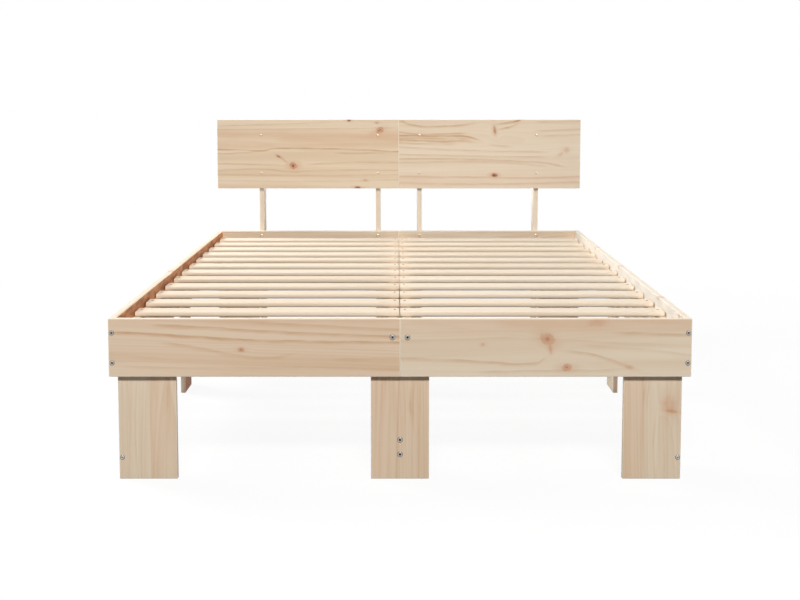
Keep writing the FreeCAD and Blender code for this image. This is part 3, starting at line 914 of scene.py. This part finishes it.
slat_pine = pine("pine_slats", SLAT_SPRING, SLAT_SUMMER, SLAT_CONTRAST)
slat_halves = []
for name in slat_names:
    low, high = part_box(name)
    inner = min(abs(vert.co.x) for vert in nodes[name].data.vertices)
    spans = [
        (low, Vector((-inner, high.y, high.z))),
        (Vector((inner, low.y, low.z)), high),
    ]
    slat = new_boards()
    for half_low, half_high in spans:
        add_box(slat, half_low, half_high)
    long_edges = [edge for edge in slat.edges if abs(edge.verts[0].co.x - edge.verts[1].co.x) > LONG]
    ease(slat, long_edges, SLAT_ROUND, SLAT_SEGMENTS)
    sharp_edges = [edge for edge in slat.edges if edge.calc_face_angle(0.0) > SHARP]
    ease(slat, sharp_edges, SLAT_END_ROUND, EASE_SEGMENTS)
    for half_low, half_high in spans:
        cut_from_log(slat, half_low, half_high, None, SLAT_TONES)
    finish_piece(slat, f"{name}_pine", slat_pine, name)
    slat_halves.extend(spans)
print(f"slats: {len(slat_names)} rows, {len(slat_halves)} half slats")

# %% [markdown]
# The frame screws are zinc-plated, those in the headboard and posts have a warmer nickel look, and the
# small slat screws are yellow zinc, which looks like dull bronze. A single metal colour would look like
# plastic at this size, so each head stores a share of painted light: painted light on top, painted shade
# in the socket and down the flank, with a fine cloud over it all.

# %% Steel finish
CLOUD_WAVES = (700.0, 700.0, 700.0)
CLOUD_DIM = 0.72
STEEL_SMOOTH = 0.30
STEEL_ROUGH = 0.46


def plated(name, dark, light):
    """Plated steel: painted light on the top of a head, painted shade in the socket and down the flank."""
    bench = Bench(bpy.data.materials.new(name))
    place = bench.put("ShaderNodeTexCoord").outputs["Object"]
    cloud = bench.noise(place, CLOUD_WAVES, 3.0)
    # painted light on the head's top and painted shade in the socket and down the flank, dimmed by the cloud
    painted_light = bench.attribute("painted_light", "Fac")
    painted_lit = bench.math("MULTIPLY", painted_light, bench.ramp(cloud, 0.25, 0.65, CLOUD_DIM, 1.0))
    tint = bench.mix(painted_lit, dark, light)
    rough = bench.ramp(cloud, 0.3, 0.7, STEEL_SMOOTH, STEEL_ROUGH)
    shader = bench.put(
        "ShaderNodeBsdfPrincipled", {"Base Color": tint, "Metallic": 1.0, "Roughness": rough}
    ).outputs[0]
    return bench.finish(shader)


# each plating's darker colour is painted shade for socket and flank, the lighter one painted light for the
# top
zinc = plated("zinc_plate", screen(54, 49, 44), screen(178, 174, 168))
nickel = plated("warm_nickel", screen(150, 124, 98), screen(232, 214, 190))
bronze = plated("yellow_zinc", screen(96, 76, 56), screen(176, 148, 114))
print("plated steel: zinc, nickel and bronze")

# %% [markdown]
# A head is a turned button with a hexagonal socket. The socket could be cut with a boolean, which leaves
# ragged faces on such a small piece. Instead a ring is extruded and drawn in step by step for the flank and
# the dome, bridged to a hexagon, and the hexagon is pushed down for the socket.

# %% Head shape
HEAD_SEGMENTS = 20
SOCKET_SHARE = 0.45
SOCKET_DEPTH_SHARE = 0.7
# painted light at the socket's rim
SOCKET_RIM_PAINTED_LIGHT = 0.9

# A head's outline from the rim inwards: share of the radius, share of the height, painted light (1 lit, 0
# shaded).
BUTTON = ((1.0, 0.50, 0.10), (0.93, 0.85, 0.30), (0.78, 1.0, 1.0))
DOME = ((1.0, 0.25, 0.05), (0.93, 0.55, 0.20), (0.78, 0.82, 0.75), (0.55, 0.97, 1.0))


def ring_edges(verts):
    """The edges that join these vertices to each other, always in the same order."""
    chosen = set(verts)
    edges = dict.fromkeys(edge for vert in verts for edge in vert.link_edges)
    return [edge for edge in edges if set(edge.verts) <= chosen]


def grow_ring(head, ring):
    """A new ring extruded from a ring, in the same place."""
    grown = bmesh.ops.extrude_edge_only(head, edges=ring_edges(ring))["geom"]
    return [item for item in grown if isinstance(item, bmesh.types.BMVert)]


def head_shape(radius, height, outline, socket_share):
    """A socket head, its seat at the origin and its top towards +Z."""
    head = bmesh.new()
    layer = head.verts.layers.float.new("painted_light")
    ring = bmesh.ops.create_circle(head, segments=HEAD_SEGMENTS, radius=radius)["verts"]
    bmesh.ops.contextual_create(head, geom=ring_edges(ring))
    for spread, level, painted_light in outline:
        ring = grow_ring(head, ring)
        for vert in ring:
            flat = Vector((vert.co.x, vert.co.y, 0)).normalized() * radius * spread
            vert.co = Vector((flat.x, flat.y, height * level))
            vert[layer] = painted_light
    hexagon = bmesh.ops.create_circle(head, segments=6, radius=radius * socket_share)["verts"]
    bmesh.ops.translate(head, vec=(0, 0, height), verts=hexagon)
    for vert in hexagon:
        vert[layer] = SOCKET_RIM_PAINTED_LIGHT
    bmesh.ops.bridge_loops(head, edges=ring_edges(ring) + ring_edges(hexagon))
    floor = grow_ring(head, hexagon)
    bmesh.ops.translate(head, vec=(0, 0, -SOCKET_DEPTH_SHARE * height), verts=floor)
    # painted shade on the socket floor
    for vert in floor:
        vert[layer] = 0.0
    bmesh.ops.contextual_create(head, geom=ring_edges(floor))
    bmesh.ops.recalc_face_normals(head, faces=head.faces[:])
    mesh = bpy.data.meshes.new("head_shape")
    head.to_mesh(mesh)
    head.free()
    return mesh


print(f"a head has {HEAD_SEGMENTS} sides and a socket {SOCKET_SHARE:.0%} of its width")

# %% [markdown]
# The solid model has a simple screw at each place. Its separate islands tell where the heads are, how wide
# they are and which way they look. The places could be typed in again, but then a screw that moves in the
# model would not move here.

# %% Screw places
def islands(name):
    """The separate solids of a node, as lists of points, always in the same order."""
    copy = bmesh.new()
    copy.from_mesh(nodes[name].data)
    bmesh.ops.remove_doubles(copy, verts=copy.verts[:], dist=NEARLY)
    waiting = set(copy.verts)
    found = []
    for first in copy.verts:
        if first not in waiting:
            continue
        waiting.discard(first)
        stack = [first]
        points = []
        while stack:
            vert = stack.pop()
            points.append(vert.co.copy())
            joined = {edge.other_vert(vert) for edge in vert.link_edges} & waiting
            waiting -= joined
            stack.extend(joined)
        found.append(points)
    copy.free()
    return found


def seat_of(points):
    """Top, outward direction and head radius of one screw, from the points of its solid."""
    low = Vector([min(point[axis] for point in points) for axis in range(3)])
    high = Vector([max(point[axis] for point in points) for axis in range(3)])
    size = high - low
    axis = max(range(3), key=lambda item: size[item])
    middle = (low + high) / 2
    near_low = sum(1 for point in points if point[axis] < middle[axis])
    outward = Vector((0, 0, 0))
    outward[axis] = -1 if near_low > len(points) / 2 else 1
    top = middle.copy()
    top[axis] = low[axis] if outward[axis] < 0 else high[axis]
    width = max(size[other] for other in range(3) if other != axis)
    return top, outward, width / 2


screw_places = {name: [seat_of(points) for points in islands(name)] for name in screw_names}
print(f"screws: {sum(len(places) for places in screw_places.values())} in {len(screw_places)} groups")

# %% [markdown]
# Each group of screws becomes one piece. All heads of a group have one shape and could be plain copies, but
# a hand never stops the key at the same angle twice, so each head is turned by its own draw. The screws of
# the corner legs, the headboard and the posts are domed, the others are flatter buttons.

# %% Screw heads
HEAD_HEIGHT = 0.002
SMALL_SOCKET_SHARE = 0.25


def add_heads(name, places, height, replaced, material, outline=BUTTON, socket_share=SOCKET_SHARE):
    """All the heads of one group in one piece; places are (top, outward, radius)."""
    group = bmesh.new()
    for top, outward, radius in places:
        shape = head_shape(radius, height, outline, socket_share)
        turn = outward.to_track_quat("Z", "Y").to_matrix().to_4x4()
        spin = Matrix.Rotation(draw.uniform(0, math.pi), 4, "Z")
        shape.transform(Matrix.Translation(top - outward * height) @ turn @ spin)
        group.from_mesh(shape)
        bpy.data.meshes.remove(shape)
    finish_piece(group, name, material, replaced)


for name, places in screw_places.items():
    if name == "corner_leg_screws":
        add_heads(f"{name}_heads", places, HEAD_HEIGHT, name, zinc, DOME, SMALL_SOCKET_SHARE)
    elif name in ("headboard_screws", "post_screws"):
        add_heads(f"{name}_heads", places, HEAD_HEIGHT, name, nickel, DOME)
    else:
        add_heads(f"{name}_heads", places, HEAD_HEIGHT, name, zinc)
    print(f"{name}: {len(places)} heads")

# %% [markdown]
# One small screw near each end holds a half slat down. They are too small for the solid model. A dot of
# colour in the slat's finish would do from afar, but it would not catch the light. So they are made here,
# from the half slats' corners, and sunk almost flush.

# %% Slat screws
SLAT_SCREW_INSET = 0.0125
SLAT_SCREW_RADIUS = 0.0035
SLAT_SCREW_RISE = 0.0008
slat_screws = []
for low, high in slat_halves:
    for x in (low.x + SLAT_SCREW_INSET, high.x - SLAT_SCREW_INSET):
        top = Vector((x, (low.y + high.y) / 2, high.z + SLAT_SCREW_RISE))
        slat_screws.append((top, Vector((0, 0, 1)), SLAT_SCREW_RADIUS))
add_heads("slat_screws_heads", slat_screws, SLAT_SCREW_RISE * 2, None, bronze)
print(f"slat screws: {len(slat_screws)}")

# %% [markdown]
# The picture has a white ground with almost no shadow. A plain white floor would come out grey and would
# throw its light up at the bed. So the floor is lit by itself for the rays that show it, with a small share
# left matt to keep a faint shadow under the bed, and it is a dim grey for the rays that light the bed.

# %% Floor
WHITE = (1.0, 1.0, 1.0, 1.0)
FLOOR_HALF = 30.0
FLOOR_SHADE = 0.09
FADE_START = 1.6
FADE_STOP = 3.0
FLOOR_BOUNCE = 0.22
FLOOR_MATT = 0.95


def shows_ground(bench):
    """1 for rays that show the ground, straight, mirrored or through a clear piece, and 0 for the rest."""
    rays = bench.put("ShaderNodeLightPath").outputs
    seen = bench.math("MAXIMUM", rays["Is Camera Ray"], rays["Is Glossy Ray"])
    return bench.math("MAXIMUM", seen, rays["Is Transmission Ray"])


bench = Bench(bpy.data.materials.new("floor_white"))
seen = shows_ground(bench)
distance = bench.length(bench.put("ShaderNodeTexCoord").outputs["Object"])
share = bench.math("MULTIPLY", seen, bench.ramp(distance, FADE_START, FADE_STOP, 1.0 - FLOOR_SHADE, 1.0))
grey = bench.ramp(seen, 0.0, 1.0, FLOOR_BOUNCE, FLOOR_MATT)
matt_white = bench.put("ShaderNodeBsdfDiffuse", {"Color": grey}).outputs[0]
lit_white = bench.put("ShaderNodeEmission", {"Color": WHITE, "Strength": 1.0}).outputs[0]
floor_shader = bench.put("ShaderNodeMixShader", {0: share, 1: matt_white, 2: lit_white}).outputs[0]

floor_mesh = bmesh.new()
bmesh.ops.create_grid(floor_mesh, x_segments=1, y_segments=1, size=FLOOR_HALF)
floor_data = bpy.data.meshes.new("floor")
floor_mesh.to_mesh(floor_data)
floor_mesh.free()
floor_data.materials.append(bench.finish(floor_shader))
floor_piece = bpy.data.objects.new("floor", floor_data)
bpy.context.scene.collection.objects.link(floor_piece)
floor_piece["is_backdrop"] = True
print(f"floor: shadow fades out from {FADE_START} to {FADE_STOP} m")

# %% [markdown]
# Behind the floor the world is pure white to the eye. As a light it is kept very dim, because an even light
# from all sides would wash out the shade between the slats.

# %% World
WORLD_LEVEL = 0.08
studio = Bench(bpy.data.worlds.new("studio"))
level = studio.put(
    "ShaderNodeMapRange", {"Value": shows_ground(studio), "To Min": WORLD_LEVEL, "To Max": 1.0}
).outputs[0]
ground = studio.put("ShaderNodeBackground", {"Color": WHITE, "Strength": level}).outputs[0]
bpy.context.scene.world = studio.finish(ground, "ShaderNodeOutputWorld")
print(f"world: lights at {WORLD_LEVEL}")

# %% [markdown]
# The picture was lit from many sides, and one lamp could not do it all. A large soft one high on the left
# gives the bright right rail and the shaded left one. A wide one far out in front lights the headboard, the
# foot panel and the legs, and a weak one overhead fills the slats. Low, flat lamps on the left, on the
# right and behind reach under the frame and up the back. A weak one on the right keeps that side from going
# dark.

# %% Lamps
def lamp(name, place, target, size, watts, height=None):
    """A soft round lamp, or a flat one when a height is given, that looks at the target."""
    data = bpy.data.lights.new(name, "AREA")
    data.shape = "RECTANGLE" if height else "DISK"
    data.size = size
    if height:
        data.size_y = height
    data.energy = watts
    light = bpy.data.objects.new(name, data)
    light.location = place
    light.rotation_euler = (Vector(target) - Vector(place)).to_track_quat("-Z", "Y").to_euler()
    bpy.context.scene.collection.objects.link(light)


BED_MIDDLE = (0.0, 0.0, 0.4)
lamp("key_left", (-3.7, 1.5, 3.4), BED_MIDDLE, 2.4, 204)
lamp("overhead", (-0.6, 0.4, 4.4), BED_MIDDLE, 2.0, 25)
lamp("front_fill", (0.2, -9.5, 7.0), BED_MIDDLE, 4.0, 1000, 1.4)
lamp("low_right", (6.0, 0.6, 0.30), (0.0, 0.0, 0.30), 4.0, 70, 0.3)
lamp("low_left", (-6.0, 0.6, 0.16), (0.0, 0.0, 0.16), 4.0, 100, 0.3)
lamp("right_fill", (4.6, 0.4, 2.3), BED_MIDDLE, 2.0, 36)
lamp("low_back", (0.0, 7.5, 0.40), BED_MIDDLE, 3.0, 100, 0.3)
bpy.context.scene.view_settings.view_transform = "Standard"
print(f"lamps: {len(bpy.data.lights)}")

# %% [markdown]
# The dressed bed has to fit the solid model's box. The two could be compared by eye, but numbers are surer,
# so the dressed bed's box is printed.

# %% Size
low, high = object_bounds()
print("visual box", tuple(round(x, 4) for x in high - low))
